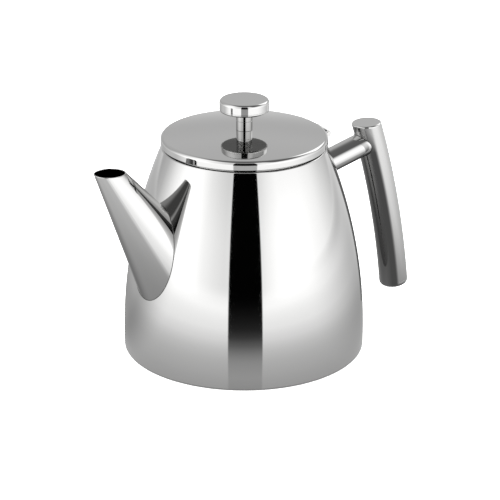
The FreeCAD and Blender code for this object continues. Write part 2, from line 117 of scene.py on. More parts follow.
class Skin:
    """Faces gathered into one mesh, each corner with its own normal."""

    def __init__(self):
        self.spots = {}
        self.faces = []
        self.normals = []

    def spot(self, point):
        """The index of a point, which points within a tenth of a micron share."""
        key = tuple(round(number, 7) for number in point)
        return self.spots.setdefault(key, len(self.spots))

    def face(self, points, normals):
        """One face, wound to agree with its normals; corners that meet are merged."""
        corners = []
        for point, normal in zip(points, normals):
            index = self.spot(point)
            if index not in [corner[0] for corner in corners]:
                corners.append((index, normal, point))
        if len(corners) < 3:
            return
        first, second, third = (corners[k][2] for k in (0, 1, -1))
        facing = (second - first).cross(third - first)
        if facing.dot(sum((corner[1] for corner in corners), Vector())) < 0:
            corners.reverse()
        self.faces.append([corner[0] for corner in corners])
        self.normals.extend(corner[1] for corner in corners)

    def grid(self, rows, closed=True):
        """Faces between rows of (point, normal); a closed row joins its end to its start."""
        for row, above in zip(rows, rows[1:]):
            for k in range(len(row) if closed else len(row) - 1):
                n = (k + 1) % len(row)
                corners = (row[k], row[n], above[n], above[k])
                self.face([c[0] for c in corners], [c[1] for c in corners])

    def disc(self, points, normal):
        """A flat face over a closed row of points."""
        middle = sum(points, Vector()) / len(points)
        self.grid([[(point, normal) for point in points], [(middle, normal)] * len(points)])

    def without(self, unwanted):
        """The skin less each face whose middle is unwanted."""
        keys = list(self.spots)
        kept = Skin()
        start = 0
        for face in self.faces:
            points = [Vector(keys[k]) for k in face]
            if not unwanted(sum(points, Vector()) / len(points)):
                kept.face(points, self.normals[start:start + len(face)])
            start += len(face)
        return kept

    def made(self, name, body, material, *nodes):
        """The finished piece, riding on its body in place of the CAD nodes."""
        mesh = bpy.data.meshes.new(name)
        mesh.from_pydata([Vector(key) for key in self.spots], [], self.faces)
        mesh.polygons.foreach_set("use_smooth", [True] * len(self.faces))
        mesh.normals_split_custom_set([normal.normalized() for normal in self.normals])
        mesh.materials.append(material)
        piece = bpy.data.objects.new(name, mesh)
        bpy.context.scene.collection.objects.link(piece)
        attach(piece, body)
        if nodes:
            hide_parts(*nodes)
        return piece


def turn_between(before, after):
    """The signed angle from one flat direction to the next, positive to the left."""
    return atan2(before.x * after.y - before.y * after.x, before.dot(after))


def arc_span(centre, start, sweep, steps):
    """(point, outward normal) along an arc from a start point through a signed sweep."""
    span = []
    for k in range(steps + 1):
        spoke = Matrix.Rotation(sweep * k / steps, 2) @ (start - centre)
        span.append((centre + spoke, spoke.normalized() * (1 if sweep > 0 else -1)))
    return span


def outline_edges(corners):
    """Each edge's ends and bow, and its direction as it goes out of one and in to the other."""
    points = [Vector(corner[:2]) for corner in corners]
    edges = []
    for corner, start, end in zip(corners, points, points[1:] + points[:1]):
        bow = corner[3]
        chord = end - start
        half = asin(chord.length / 2 / abs(bow)) if bow else 0
        lean = half if bow > 0 else -half
        edges.append({
            "start": start, "end": end, "bow": bow,
            "out": Matrix.Rotation(-lean, 2) @ chord.normalized(),
            "in": Matrix.Rotation(lean, 2) @ chord.normalized()})
    return edges


def outline(corners, step=3 * MM):
    """The spans of a closed outline, anticlockwise, each a list of (point, outward normal).

    A corner is (across, up, ease, bow): ease rounds it, and bow bends the edge that leaves it
    to an arc of that radius, negative to turn right.
    """
    corners = [tuple(corner) + (0,) * (4 - len(corner)) for corner in corners]
    count = len(corners)
    edges = outline_edges(corners)
    turns = [turn_between(edges[k - 1]["in"], edges[k]["out"]) for k in range(count)]
    trims = [corner[2] * tan(abs(turn) / 2) for corner, turn in zip(corners, turns)]
    spans = []
    for k, edge in enumerate(edges):
        n = (k + 1) % count
        span = edge_span(edge, trims[k], trims[n], step)
        spans.append(span)
        ease = corners[n][2]
        if ease:
            direction = edge["in"]
            side = Vector((-direction.y, direction.x)) * (1 if turns[n] > 0 else -1)
            centre = span[-1][0] + side * ease
            steps = max(2, ceil(abs(turns[n]) / EASE_TURN))
            spans.append(arc_span(centre, span[-1][0], turns[n], steps))
    return spans


def edge_span(edge, trim_start, trim_end, step):
    """(point, outward normal) along one edge of an outline, less what its corners' eases take."""
    if not edge["bow"]:
        direction = edge["out"]
        normal = Vector((direction.y, -direction.x))
        return [(edge["start"] + direction * trim_start, normal),
                (edge["end"] - direction * trim_end, normal)]
    bow = edge["bow"]
    direction = edge["out"]
    centre = edge["start"] + Vector((-direction.y, direction.x)) * bow
    sweep = turn_between(edge["out"], edge["in"]) - (trim_start + trim_end) / bow
    start = Matrix.Rotation(trim_start / bow, 2) @ (edge["start"] - centre) + centre
    return arc_span(centre, start, sweep, max(2, ceil(abs(sweep * bow) / step)))


def turned_skin(corners, around=AROUND, step=3 * MM):
    """A closed outline of (radius, height) corners turned about Z."""
    skin = Skin()
    turns = [(cos(2 * pi * k / around), sin(2 * pi * k / around)) for k in range(around)]
    for span in outline(corners, step):
        rows = []
        for point, normal in span:
            across = max(point.x, 0)
            rows.append([(Vector((across * c, across * s, point.y)),
                          Vector((normal.x * c, normal.x * s, normal.y))) for c, s in turns])
        skin.grid(rows)
    return skin


# ---- studio ---------------------------------------------------------------------------------

STEEL_REFLECTANCE = 0.42

# the main view's camera
CAMERA_PLACE = Vector((-687.8, -985.5, 542.3)) * MM
CAMERA_HEADING = radians(35.091)
CAMERA_PITCH = radians(21.83)
CAMERA_ROLL = radians(0.22)
CAMERA_LENS = 150.255
CAMERA_AZIMUTH = atan2(CAMERA_PLACE.y, CAMERA_PLACE.x)

# the floor that the camera sees, the table top that the steel mirrors just over it, and a lamp
FLOOR_HALF = 6.0
FLOOR_LEVEL = -0.2 * MM
FLOOR_COLOUR = 0.9
FLOOR_GLOW = 0.6
TABLE_LEVEL = -0.1 * MM
LAMP_POWER = 4.2
LAMP_SPREAD = radians(70)
LAMP_TILT = (radians(8), radians(-6), 0)

# the soft dark ribbon before the grip, seen only in the steel: a painted dark reflection standing
# in for the shade close round the pot that the grip mirrors; how far across it, and how much of it
# is dark
FLAG_SLOPE = radians(37)
FLAG_GAP = 14 * MM
FLAG_HALF = 7 * MM
FLAG_TOP = radians(19.4)
SHADE_CARD_GREY = 72
FLAG_PROFILE = ((-1, 0), (-0.55, 1), (0.1, 1), (1.3, 0))
FLAG_STEPS = 24
FLAG_FADE = 8


def seen(grey):
    """The brightness of a studio surface that polished steel shows as a grey of 0 to 255."""
    return (grey / 255) ** 2.2 / STEEL_REFLECTANCE


def camera():
    """The main view's camera."""
    data = bpy.data.cameras.new("camera")
    data.lens = CAMERA_LENS
    thing = bpy.data.objects.new("camera", data)
    bpy.context.scene.collection.objects.link(thing)
    thing.matrix_world = (
        Matrix.Translation(CAMERA_PLACE) @ Matrix.Rotation(-CAMERA_HEADING, 4, "Z")
        @ Matrix.Rotation(pi / 2 - CAMERA_PITCH, 4, "X") @ Matrix.Rotation(CAMERA_ROLL, 4, "Z"))
    bpy.context.scene.camera = thing


class Wiring:
    """Short ways to add and link the nodes of one tree."""

    def __init__(self, tree):
        self.tree = tree
        tree.nodes.clear()

    def node(self, kind, **settings):
        thing = self.tree.nodes.new(kind)
        for key, value in settings.items():
            setattr(thing, key, value)
        return thing

    def feed(self, socket, value):
        """Link a socket to an output, or give it a number; None leaves it as it is."""
        if isinstance(value, bpy.types.NodeSocket):
            self.tree.links.new(value, socket)
        elif value is not None:
            socket.default_value = value

    def math(self, operation, *values):
        thing = self.node("ShaderNodeMath", operation=operation)
        for socket, value in zip(thing.inputs, values):
            self.feed(socket, value)
        return thing.outputs[0]

    def product(self, first, *others):
        for other in others:
            first = self.math("MULTIPLY", first, other)
        return first

    def length(self, x, y):
        return self.math("SQRT", self.math("ADD", self.product(x, x), self.product(y, y)))

    def rise(self, value, low, high, bottom=0.0, top=1.0):
        """A smooth climb from bottom to top as value goes from low to high."""
        thing = self.node("ShaderNodeMapRange", interpolation_type="SMOOTHSTEP")
        for socket, number in zip(thing.inputs, (value, low, high, bottom, top)):
            self.feed(socket, number)
        return thing.outputs[0]

    def blend(self, share, first, second):
        """The first value where share is 0, the second where it is 1."""
        thing = self.node("ShaderNodeMix", data_type="FLOAT")
        for index, value in ((0, share), (2, first), (3, second)):
            self.feed(thing.inputs[index], value)
        return thing.outputs[0]

    def noise(self, vector, scale, detail, roughness):
        thing = self.node("ShaderNodeTexNoise")
        self.feed(thing.inputs["Vector"], vector)
        self.feed(thing.inputs["Scale"], scale)
        self.feed(thing.inputs["Detail"], detail)
        self.feed(thing.inputs["Roughness"], roughness)
        return thing.outputs[0]

    def combine(self, *values):
        thing = self.node("ShaderNodeCombineXYZ")
        for socket, value in zip(thing.inputs, values):
            self.feed(socket, value)
        return thing.outputs[0]


# How bright polished steel looks when it mirrors each side of the studio: degrees from the main
# view's camera, positive to its right, and a grey. Two soft boxes stand either side of a gap.
ROUND = [
    (-180, 165), (-150, 150), (-130, 158), (-118, 174), (-107, 205), (-96, 236), (-86, 258),
    (-70, 275), (-55, 268), (-42, 245), (-30, 231), (-20, 222), (20, 236), (30, 252), (42, 264),
    (58, 262), (72, 258), (82, 250), (92, 241), (104, 222), (118, 200), (132, 177), (150, 158),
    (180, 165)]

# How bright it looks when it mirrors the dark gap, by elevation in degrees: the table's sheen
# carries the gap down towards the pot.
GAP = [
    (-40, 256), (-28, 250), (-23, 217), (-21, 200), (-18.9, 163), (-16.9, 114), (-14.8, 68),
    (-12.8, 43), (-10.8, 33), (-8.8, 24), (-6.8, 16), (-4.8, 9), (0, 8), (32, 8), (46, 86),
    (60, 86)]

# How bright it looks when it mirrors the ceiling at the back, at the front and overhead, and the
# soft box behind.
CEILING_BACK = 163
CEILING_FRONT = 86
CEILING_TOP = 88
BOX_BEHIND = 270

# The table's brightness in the same greys, by distance from the pot's axis in millimetres: darker
# towards the pot, a painted shadow of the pot on the table.
TABLE_FAR = 258
TABLE = [
    (60, 140), (98, 161), (125, 172), (152, 186), (189, 208), (247, 227), (352, 238), (466, 250),
    (700, TABLE_FAR)]


def facing_camera(wires, coordinates):
    """A texture coordinate as x, y and z, turned so that x points to the camera's side."""
    turned = wires.node("ShaderNodeVectorRotate", rotation_type="Z_AXIS")
    wires.feed(turned.inputs["Vector"], wires.node("ShaderNodeTexCoord").outputs[coordinates])
    wires.feed(turned.inputs["Angle"], -CAMERA_AZIMUTH)
    parts = wires.node("ShaderNodeSeparateXYZ")
    wires.feed(parts.inputs[0], turned.outputs[0])
    return parts.outputs


def graph(wires, value, stops):
    """The brightness read off a list of (value, grey) stops."""
    ramp = wires.node("ShaderNodeValToRGB")
    low, high = stops[0][0], stops[-1][0]
    most = seen(max(grey for _, grey in stops))
    elements = ramp.color_ramp.elements
    while len(elements) > 1:
        elements.remove(elements[0])
    for index, (place, grey) in enumerate(stops):
        share = (place - low) / (high - low)
        element = elements[0] if index == 0 else elements.new(share)
        element.position = share
        level = seen(grey) / most
        element.color = (level, level, level, 1)
    wires.feed(ramp.inputs[0], wires.math("DIVIDE", wires.math("SUBTRACT", value, low), high - low))
    return wires.math("MULTIPLY", ramp.outputs[0], most)


# In the next three functions each rise is a fade over directions in degrees.

def walls_and_ceiling(wires, azimuth, elevation):
    """The walls all round, and a grey ceiling that is darker over the front and overhead."""
    walls = graph(wires, azimuth, ROUND)
    walls = wires.product(walls, wires.rise(elevation, 6, 28, 1.0, 0.84))
    front = wires.product(wires.rise(azimuth, -60, -15), wires.rise(azimuth, 150, 90))
    ceiling = wires.blend(front, seen(CEILING_BACK), seen(CEILING_FRONT))
    ceiling = wires.blend(wires.rise(elevation, 45, 78), ceiling, seen(CEILING_TOP))
    ceiling = wires.product(ceiling, wires.rise(elevation, 14, 26, 0.87, 1.0))
    top_left = wires.rise(elevation, 52, 68)
    top_right = wires.rise(elevation, 22, 45)
    top = wires.blend(wires.rise(azimuth, 30, 50), top_left, top_right)
    back = wires.rise(wires.math("ABSOLUTE", azimuth), 100, 140)
    top = wires.math("MAXIMUM", top, wires.product(back, wires.rise(elevation, 2, 14)))
    return wires.blend(top, walls, ceiling)


def with_box_behind(wires, level, azimuth, elevation):
    """A tall soft box behind the pot, out of the main view's reflections."""
    share = wires.product(
        wires.rise(azimuth, 112, 122), wires.rise(azimuth, 160, 150),
        wires.rise(elevation, 16, 22), wires.rise(elevation, 58, 48))
    return wires.blend(share, level, seen(BOX_BEHIND))


def with_table_and_gap(wires, level, azimuth, elevation):
    """The far table below, and the dark gap straight ahead; both are dimmer close below, a painted
    shade standing in for the pot's shadow on the table close round it.
    """
    level = wires.blend(wires.rise(elevation, -9, -2), seen(TABLE_FAR), level)
    gap = wires.product(
        wires.rise(azimuth, -15.0, -14.0), wires.rise(azimuth, 18.0, 17.0),
        wires.rise(elevation, 60, 50))
    level = wires.blend(gap, level, graph(wires, elevation, GAP))
    # painted shade: looking steeply down, towards the table close round the pot, everything is
    # dimmed
    return wires.product(level, wires.rise(elevation, -33, -25, 0.6, 1.0))


def studio():
    """What the steel mirrors, by direction; the camera itself sees plain white."""
    world = bpy.data.worlds.new("studio")
    world.use_nodes = True
    bpy.context.scene.world = world
    wires = Wiring(world.node_tree)
    x, y, z = facing_camera(wires, "Generated")
    azimuth = wires.math("DEGREES", wires.math("ARCTAN2", y, x))
    elevation = wires.math("DEGREES", wires.math("ARCSINE", z))
    level = walls_and_ceiling(wires, azimuth, elevation)
    level = with_box_behind(wires, level, azimuth, elevation)
    level = with_table_and_gap(wires, level, azimuth, elevation)
    path = wires.node("ShaderNodeLightPath")
    background = wires.node("ShaderNodeBackground")
    wires.feed(background.inputs["Color"], wires.blend(path.outputs["Is Camera Ray"], level, 1.0))
    target = wires.node("ShaderNodeOutputWorld")
    wires.feed(target.inputs[0], background.outputs[0])


def plain(name, colour, glow):
    """A matt material, with a little light of its own."""
    material = bpy.data.materials.new(name)
    material.use_nodes = True
    shader = material.node_tree.nodes["Principled BSDF"]
    shader.inputs["Base Color"].default_value = (colour, colour, colour, 1)
    shader.inputs["Roughness"].default_value = 0.9
    shader.inputs["Specular IOR Level"].default_value = 0.1
    shader.inputs["Emission Color"].default_value = (1, 1, 1, 1)
    shader.inputs["Emission Strength"].default_value = glow
    return material


def veil(name, tint=None, share=None, level=None):
    """A clear material: tint(wires) dims it, and share(wires) is how much of it is at a level."""
    material = bpy.data.materials.new(name)
    material.use_nodes = True
    wires = Wiring(material.node_tree)
    clear = wires.node("ShaderNodeBsdfTransparent")
    lit = wires.node("ShaderNodeEmission")
    mixed = wires.node("ShaderNodeMixShader")
    target = wires.node("ShaderNodeOutputMaterial")
    if tint:
        wires.feed(clear.inputs["Color"], tint(wires))
    wires.feed(lit.inputs["Strength"], level)
    wires.feed(mixed.inputs[0], share(wires) if share else 0.0)
    wires.feed(mixed.inputs[1], clear.outputs[0])
    wires.feed(mixed.inputs[2], lit.outputs[0])
    wires.feed(target.inputs[0], mixed.outputs[0])
    return material


def stage_object(name, points, faces, material):
    """A mesh that belongs to the studio."""
    mesh = bpy.data.meshes.new(name)
    mesh.from_pydata(points, [], faces)
    mesh.materials.append(material)
    thing = bpy.data.objects.new(name, mesh)
    bpy.context.scene.collection.objects.link(thing)
    return thing


def mirrored_only(thing):
    """Show a stage object only where the steel mirrors it."""
    thing.visible_camera = False
    thing.visible_diffuse = False
    thing.visible_shadow = False
    thing.visible_transmission = False


def shade_card_share(wires):
    """How dark the painted-shade ribbon is at each point of it."""
    return wires.node("ShaderNodeAttribute", attribute_name="share").outputs["Fac"]


def grip_shade_card():
    """A soft dark ribbon close in front of the grip, fading out at its top, that only the steel
    mirrors: a painted dark reflection standing in for the shade close round the pot.
    """
    towards = Vector((CAMERA_PLACE.x, CAMERA_PLACE.y, 0)).normalized()
    across = towards.cross(UP)
    ahead = towards * cos(FLAG_SLOPE) - UP * sin(FLAG_SLOPE)
    points, shares = [], []
    for k in range(FLAG_STEPS + 1):
        along = k / FLAG_STEPS
        centre, _, _ = grip_frame(GRIP_LOW + (FLAG_TOP - GRIP_LOW) * along)
        for way, share in FLAG_PROFILE:
            points.append(centre + ahead * FLAG_GAP + across * way * FLAG_HALF)
            shares.append(share * min(1, (1 - along) * FLAG_FADE))
    wide = len(FLAG_PROFILE)
    faces = [(wide * k + n, wide * k + n + 1, wide * (k + 1) + n + 1, wide * (k + 1) + n)
             for k in range(FLAG_STEPS) for n in range(wide - 1)]
    # painted shade: the card glows a dim grey where the grip mirrors the shaded ground close round
    # the pot
    material = veil("grip_shade_card", share=shade_card_share, level=seen(SHADE_CARD_GREY))
    thing = stage_object("grip_shade_card", points, faces, material)
    attribute = thing.data.attributes.new("share", "FLOAT", "POINT")
    attribute.data.foreach_set("value", shares)
    mirrored_only(thing)


def table_shadow_tint(wires):
    """How much the table dims what the steel mirrors, by where on it the mirrored ray lands: a
    painted shadow of the pot and handle, darker close to the pot and round its back, the handle's
    side included.
    """
    x, y, _ = facing_camera(wires, "Object")
    reach = wires.math("DIVIDE", wires.length(x, y), MM)
    azimuth = wires.math("DEGREES", wires.math("ARCTAN2", y, x))
    # painted shadow of the pot and handle on the table
    tint = wires.product(
        wires.math("DIVIDE", graph(wires, reach, TABLE), seen(TABLE_FAR)),
        wires.rise(azimuth, -105, -65, 0.5, 1.0),
        wires.rise(azimuth, 55, 135, 1.0, 0.46),
        wires.rise(azimuth, -145, -108, 0.65, 1.0),
        wires.rise(azimuth, 138, 178, 1.0, 0.71))
    return wires.blend(wires.rise(reach, 700, 2000), tint, 1.0)


def square(level):
    """The corners of a wide level square at a height, anticlockwise."""
    return [(x * FLOOR_HALF, y * FLOOR_HALF, level)
            for x, y in ((-1, -1), (1, -1), (1, 1), (-1, 1))]


def table():
    """The table top as the steel mirrors it, with the pot's shadow painted on it."""
    material = veil("table", table_shadow_tint)
    mirrored_only(stage_object("table", square(TABLE_LEVEL), [(0, 1, 2, 3)], material))


def floor():
    """A pale floor under soft light from above; the steel mirrors the studio instead of it."""
    paper = plain("floor_paper", FLOOR_COLOUR, FLOOR_GLOW)
    thing = stage_object("floor", square(FLOOR_LEVEL), [(0, 1, 2, 3)], paper)
    thing.visible_glossy = False
    light = bpy.data.lights.new("overhead", "SUN")
    light.energy = LAMP_POWER
    light.angle = LAMP_SPREAD
    lamp = bpy.data.objects.new("overhead", light)
    bpy.context.scene.collection.objects.link(lamp)
    lamp.rotation_euler = LAMP_TILT
    lamp.visible_glossy = False


# ---- materials ------------------------------------------------------------------------------

# the scale, detail and roughness of each noise, and how far turned marks drift round the axis
GRAIN = {"turned": (3200.0, 3.0, 0.65), "polished": (420.0, 4.0, 0.6)}
SMEAR = (55.0, 3.0, 0.55)
RING_DRIFT = 0.0015


def ring_point(wires, point):
    """Distance from the pot's axis, height, and a trace of the angle round it, as one vector."""
    parts = wires.node("ShaderNodeSeparateXYZ")
    wires.feed(parts.inputs[0], point)
    x, y, z = parts.outputs
    angle = wires.math("ARCTAN2", y, x)
    return wires.combine(wires.length(x, y), z, wires.product(angle, RING_DRIFT))


def steel(name, slot, tint, roughness, spread, lay, depth):
    """Steel whose roughness wanders by spread and whose grain, by lay, stands depth proud."""
    material = bpy.data.materials.new(name)
    material["slot"] = slot
    material.use_nodes = True
    wires = Wiring(material.node_tree)
    point = wires.node("ShaderNodeTexCoord").outputs["Object"]
    grain = wires.noise(ring_point(wires, point) if lay == "turned" else point, *GRAIN[lay])
    smear = wires.noise(point, *SMEAR)
    shader = wires.node("ShaderNodeBsdfPrincipled")
    shader.inputs["Base Color"].default_value = (*tint, 1)
    shader.inputs["Metallic"].default_value = 1.0
    mixed = wires.blend(0.5, grain, smear)
    wires.feed(shader.inputs["Roughness"],
               wires.rise(mixed, 0.3, 0.7, roughness - spread, roughness + spread))
    bump = wires.node("ShaderNodeBump")
    wires.feed(bump.inputs["Strength"], 1.0)
    wires.feed(bump.inputs["Distance"], depth)
    wires.feed(bump.inputs["Height"], grain)
    wires.feed(shader.inputs["Normal"], bump.outputs[0])
    target = wires.node("ShaderNodeOutputMaterial")
    wires.feed(target.inputs[0], shader.outputs[0])
    return material


MIRROR = steel("polished", "mirror_steel", (0.42, 0.419, 0.416), 0.045, 0.015, "polished",
               0.00002 * MM)
SATIN = steel("satin", "satin_steel", (0.48, 0.476, 0.468), 0.24, 0.06, "turned", 0.012 * MM)
BASKET = steel("basket", "basket_steel", (0.5, 0.498, 0.492), 0.11, 0.03, "turned", 0.002 * MM)
MESH = steel("mesh", "mesh_steel", (0.5, 0.496, 0.488), 0.2, 0.05, "polished", 0.002 * MM)
PIN = steel("pin", "pin_steel", (0.48, 0.476, 0.468), 0.17, 0.04, "polished", 0.002 * MM)
# a real bead of weld, but its near-black colour is painted shade of the seam between the parts
WELD_WITH_PAINTED_SHADE = steel("weld", "satin_steel", (0.1, 0.099, 0.097), 0.36, 0.05, "polished", 0.002 * MM)


def repaint():
    """Give each CAD node that still shows the finer material of its slot."""
    finishes = {finish["slot"]: finish for finish in (MIRROR, SATIN, BASKET, MESH, PIN)}
    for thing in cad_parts.values():
        for material_slot in thing.material_slots:
            material_slot.material = finishes[material_slot.material.name]


# ---- pot ------------------------------------------------------------------------------------

def side(height, inset=0.0):
    """The shell's outer radius at a height, less an inset square to the wall."""
    if height <= SIDE_START:
        return BASE_RADIUS - inset
    return BASE_RADIUS - SIDE_ARC + sqrt((SIDE_ARC - inset) ** 2 - (height - SIDE_START) ** 2)


def outside_side(point):
    """How far a point stands outside the shell, measured level."""
    return hypot(point.x, point.y) - side(point.z)


def crossing(line, low, high, measure):
    """Where measure(line(share)) passes zero between two shares."""
    positive = measure(line(low)) > 0
    for _ in range(HALVINGS):
        middle = (low + high) / 2
        if (measure(line(middle)) > 0) == positive:
            low = middle
        else:
            high = middle
    return (low + high) / 2


def in_spout(point):
    """Whether a point lies inside the spout's bore, clear of its wall."""
    clearance = 1.2 * SPOUT_WALL
    reach = (point - SPOUT_TIP).dot(SPOUT_DOWN)
    low, high = SPOUT_REACH
    if point.x > 0 or not low < reach < high:
        return False
    radius = SPOUT_RADIUS + reach * SPOUT_GROWTH
    share = (reach - low) / (high - low)
    flatness = SPOUT_FLATNESS[0] + (SPOUT_FLATNESS[1] - SPOUT_FLATNESS[0]) * share
    up_down = (point - SPOUT_TIP).dot(SPOUT_OVER) / (radius - clearance)
    level = point.y / (radius * flatness - clearance)
    return hypot(up_down, level) < 1


def shell():
    """The pot's outer wall, turned in over its foot, with the spout's opening cut through it."""
    low, high = (corner.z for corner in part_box("outer_shell"))
    wall = 0.9 * MM
    foot = BASE_RADIUS - 9 * MM
    mouth = 47.4 * MM
    skin = turned_skin([
        (foot, low, EDGE), (BASE_RADIUS, low, 1.2 * MM), (BASE_RADIUS, SIDE_START, 0, SIDE_ARC),
        (side(high), high, 1.4 * MM), (mouth, high, EDGE), (mouth, high - wall),
        (side(high - wall, wall), high - wall, 0, wall - SIDE_ARC),
        (BASE_RADIUS - wall, SIDE_START), (BASE_RADIUS - wall, low + wall),
        (foot, low + wall, EDGE)], around=384, step=1.5 * MM)
    skin.without(in_spout).made("shell", "pot", MIRROR, "outer_shell")


def spout_line(angle, inset):
    """The straight line of the spout's cone at an angle round it, as a function of a share."""
    ends = []
    for reach, flatness in zip(SPOUT_REACH, SPOUT_FLATNESS):
        radius = SPOUT_RADIUS + reach * SPOUT_GROWTH
        ends.append(
            SPOUT_TIP + SPOUT_DOWN * reach + SPOUT_OVER * cos(angle) * (radius - inset)
            + SIDEWAYS * sin(angle) * (radius * flatness - inset))
    return lambda share: ends[0].lerp(ends[1], share)


def spout_normal(angle, share, inset):
    """The cone's outward normal."""
    nudge = 0.001
    here = spout_line(angle, inset)
    along = here(share + nudge) - here(share)
    around = spout_line(angle + nudge, inset)(share) - spout_line(angle - nudge, inset)(share)
    return around.cross(along).normalized()


def spout_rows(inset, lip):
    """Rows of (point, normal) from the shell up to a lip below the mouth's plane."""
    rows = [[] for _ in range(SPOUT_STEPS + 1)]
    for angle in SPOUT_TURNS:
        line = spout_line(angle, inset)
        mouth = crossing(line, 0, 1, lambda point: (point - SPOUT_TIP).dot(MOUTH_FACING) + lip)
        root = crossing(line, mouth, 1, outside_side)
        for k, row in enumerate(rows):
            share = root + (mouth - root) * k / SPOUT_STEPS
            row.append((line(share), spout_normal(angle, share, inset)))
    return rows


def rolled_edge(outer, inner, lip, steps=8):
    """Rows of (point, normal) over the half-round edge between two rows at the spout's mouth."""
    rows = []
    for k in range(steps + 1):
        turn = pi * k / steps
        row = []
        for (out, _), (back, _) in zip(outer, inner):
            middle = (out + back) / 2
            spoke = (out - middle) * cos(turn) + MOUTH_FACING * lip * sin(turn)
            row.append((middle + spoke, spoke.normalized()))
        rows.append(row)
    return rows


def spout():
    """The spout's thin oval cone, open at both ends, and the bead of weld round its root."""
    lip = SPOUT_WALL / 2
    outer = spout_rows(0, lip)
    inner = [[(point, -normal) for point, normal in row] for row in spout_rows(SPOUT_WALL, lip)]
    skin = Skin()
    skin.grid(outer)
    skin.grid(inner)
    skin.grid(rolled_edge(outer[-1], inner[-1], lip))
    inward = [Vector((-point.x, -point.y, 0)).normalized() for point, _ in outer[0]]
    skin.grid([[(point, facing) for (point, _), facing in zip(row, inward)]
               for row in (outer[0], inner[0])])
    skin.made("spout", "pot", MIRROR, "spout_tube")
    bead("spout_weld", [point for point, _ in outer[0]], SPOUT_BEAD, WELD_WITH_PAINTED_SHADE)


def bead(name, points, radius, finish):
    """A closed bead of weld along a loop of points."""
    skin = Skin()
    count = len(points)
    rows = []
    for k, point in enumerate(points):
        along = (points[(k + 1) % count] - points[k - 1]).normalized()
        out = Vector((point.x, point.y, 0)).normalized()
        across = along.cross(out).normalized()
        out = across.cross(along)
        row = []
        for n in range(BEAD_SIDES):
            turn = 2 * pi * n / BEAD_SIDES
            spoke = out * cos(turn) + across * sin(turn)
            row.append((point + spoke * radius, spoke))
        rows.append(row)
    skin.grid(rows + rows[:1])
    return skin.made(name, "pot", finish)


def grip_frame(angle):
    """The grip's centre at an angle of its arc, the way outward and the way along."""
    out = Vector((cos(angle), 0, sin(angle)))
    return GRIP_CENTRE + out * GRIP_ARC, out, Vector((-sin(angle), 0, cos(angle)))


def grip_spoke(angle, turn):
    """The outward normal of the grip's tube at a turn round it."""
    _, out, _ = grip_frame(angle)
    return out * cos(turn) + SIDEWAYS * sin(turn)


def grip_line(turn):
    """The grip's surface at a turn round it, as a function of the angle along its arc."""
    return lambda angle: grip_frame(angle)[0] + grip_spoke(angle, turn) * GRIP_RADIUS


def grip_end(turn, below_top):
    """The angle at which a line along the grip meets the top cap's plane, less a depth."""
    height = CAP_HEIGHT - GRIP_CENTRE.z
    middle = GRIP_CENTRE + Vector((sqrt(GRIP_ARC ** 2 - height ** 2), 0, height))
    return crossing(grip_line(turn), GRIP_LOW, GRIP_HIGH,
                    lambda point: (point - middle).dot(CAP_FACING) + below_top)


def grip_tube():
    """The bent tube, from its bottom cap up to its seam with the top cap."""
    low = GRIP_LOW + CAP_ANGLE
    rows = [[] for _ in range(GRIP_STEPS + 1)]
    for turn in ROD_TURNS:
        line = grip_line(turn)
        seam = grip_end(turn, CAP_WALL)
        for k, row in enumerate(rows):
            angle = low + (seam - low) * k / GRIP_STEPS
            row.append((line(angle), grip_spoke(angle, turn)))
    skin = Skin()
    skin.grid(rows)
    for row, normal in ((rows[0], -grip_frame(low)[2]), (rows[-1], CAP_FACING)):
        skin.disc([point for point, _ in row], normal)
    skin.made("grip", "pot", MIRROR, "handle_grip")


def eased_edge(corner, below, out):
    """(point, normal) over the top cap's edge, from a point below its corner round to its top."""
    inward = -(out - CAP_FACING * out.dot(CAP_FACING)).normalized()
    span = []
    for k in range(EASE_STEPS + 1):
        share = pi / 2 * k / EASE_STEPS
        point = (corner + (below - corner) * (1 - sin(share))
                 + inward * CAP_EASE * (1 - cos(share)))
        span.append((point, (out * cos(share) + CAP_FACING * sin(share)).normalized()))
    return span


def grip_top_cap():
    """The level cap that closes the grip's top."""
    sides = [[], []]
    edges = [[] for _ in range(EASE_STEPS + 1)]
    for turn in ROD_TURNS:
        line = grip_line(turn)
        for row, depth in zip(sides, (CAP_WALL, CAP_EASE)):
            angle = grip_end(turn, depth)
            row.append((line(angle), grip_spoke(angle, turn)))
        end = grip_end(turn, 0)
        span = eased_edge(line(end), sides[1][-1][0], grip_spoke(end, turn))
        for row, spot in zip(edges, span):
            row.append(spot)
    skin = Skin()
    skin.grid(sides)
    skin.grid(edges)
    for row, normal in ((edges[-1], CAP_FACING), (sides[0], -CAP_FACING)):
        skin.disc([point for point, _ in row], normal)
    skin.made("grip_cap_top", "pot", MIRROR, "grip_top_cap")


def grip_bottom_cap():
    """A round end cap with a fine groove at its seam with the tube."""
    thickness = GRIP_ARC * CAP_ANGLE
    groove = 0.06 * MM
    ease = 3.0 * MM
    angle = GRIP_LOW + CAP_ANGLE
    centre, _, along = grip_frame(angle)
    skin = Skin()
    for span in outline([(0, 0), (GRIP_RADIUS, 0, groove), (GRIP_RADIUS, thickness, ease),
                         (0, thickness)]):
        rows = []
        for point, normal in span:
            row = []
            for turn in ROD_TURNS:
                spoke = grip_spoke(angle, turn)
                row.append((centre + spoke * max(point.x, 0) - along * point.y,
                            spoke * normal.x - along * normal.y))
            rows.append(row)
        skin.grid(rows)
    skin.made("grip_cap_bottom", "pot", MIRROR, "grip_bottom_cap")


def grip_distance(point):
    """How far a point stands outside the grip's tube."""
    flat = hypot(point.x - GRIP_CENTRE.x, point.z - GRIP_CENTRE.z) - GRIP_ARC
    return hypot(flat, point.y) - GRIP_RADIUS


def strut_line(spoke):
    """The strut's surface on a spoke, as a function of a share of its reach."""
    foot = STRUT_START + spoke * STRUT_RADIUS
    return lambda share: foot + STRUT_ALONG * STRUT_REACH * share


